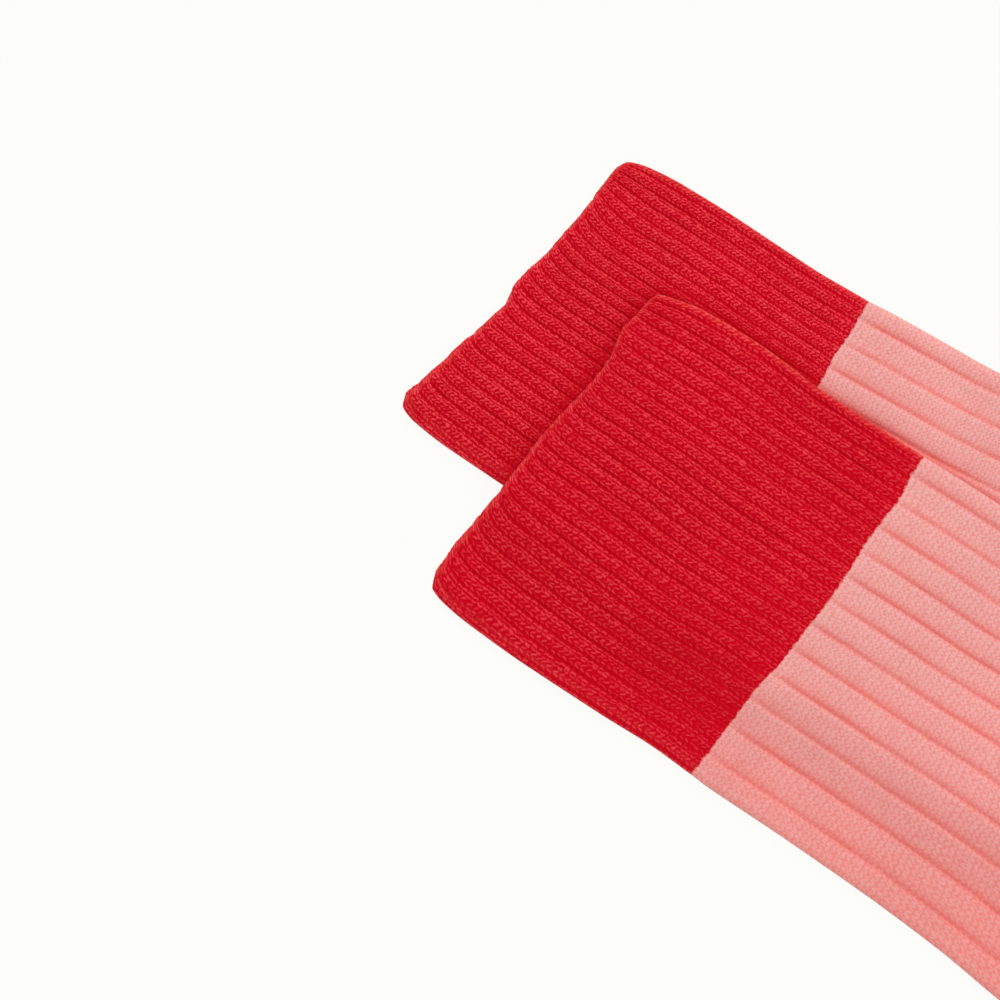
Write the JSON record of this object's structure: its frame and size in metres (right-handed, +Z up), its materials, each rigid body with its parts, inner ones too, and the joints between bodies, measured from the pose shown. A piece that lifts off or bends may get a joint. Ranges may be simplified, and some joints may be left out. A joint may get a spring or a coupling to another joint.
{
  "type": "pair of ribbed socks",
  "caption": "Crew socks laid flat on their sides, one partly over the other: narrow-ribbed contrast cuffs, broad-ribbed legs and insteps, plain heels, soles and closed toes.",
  "frame": {"origin": "middle of the bounding box of both socks, on the surface that they rest on", "axes": "+X runs down the legs from the cuff openings to the heels, +Y from the legs towards the toes on the instep side, +Z up from the surface"},
  "size_m": [0.3016, 0.2554, 0.0085],
  "materials": {
    "cuff_yarn": "matte red cotton yarn in a narrow rib, slightly fuzzy",
    "leg_yarn": "matte salmon pink cotton yarn in a broad rib, slightly fuzzy"
  },
  "bodies": {
    "root": {"front_cuff": "cuff_yarn", "front_leg": "leg_yarn", "back_cuff": "cuff_yarn", "back_leg": "leg_yarn"}
  },
  "joints": []
}
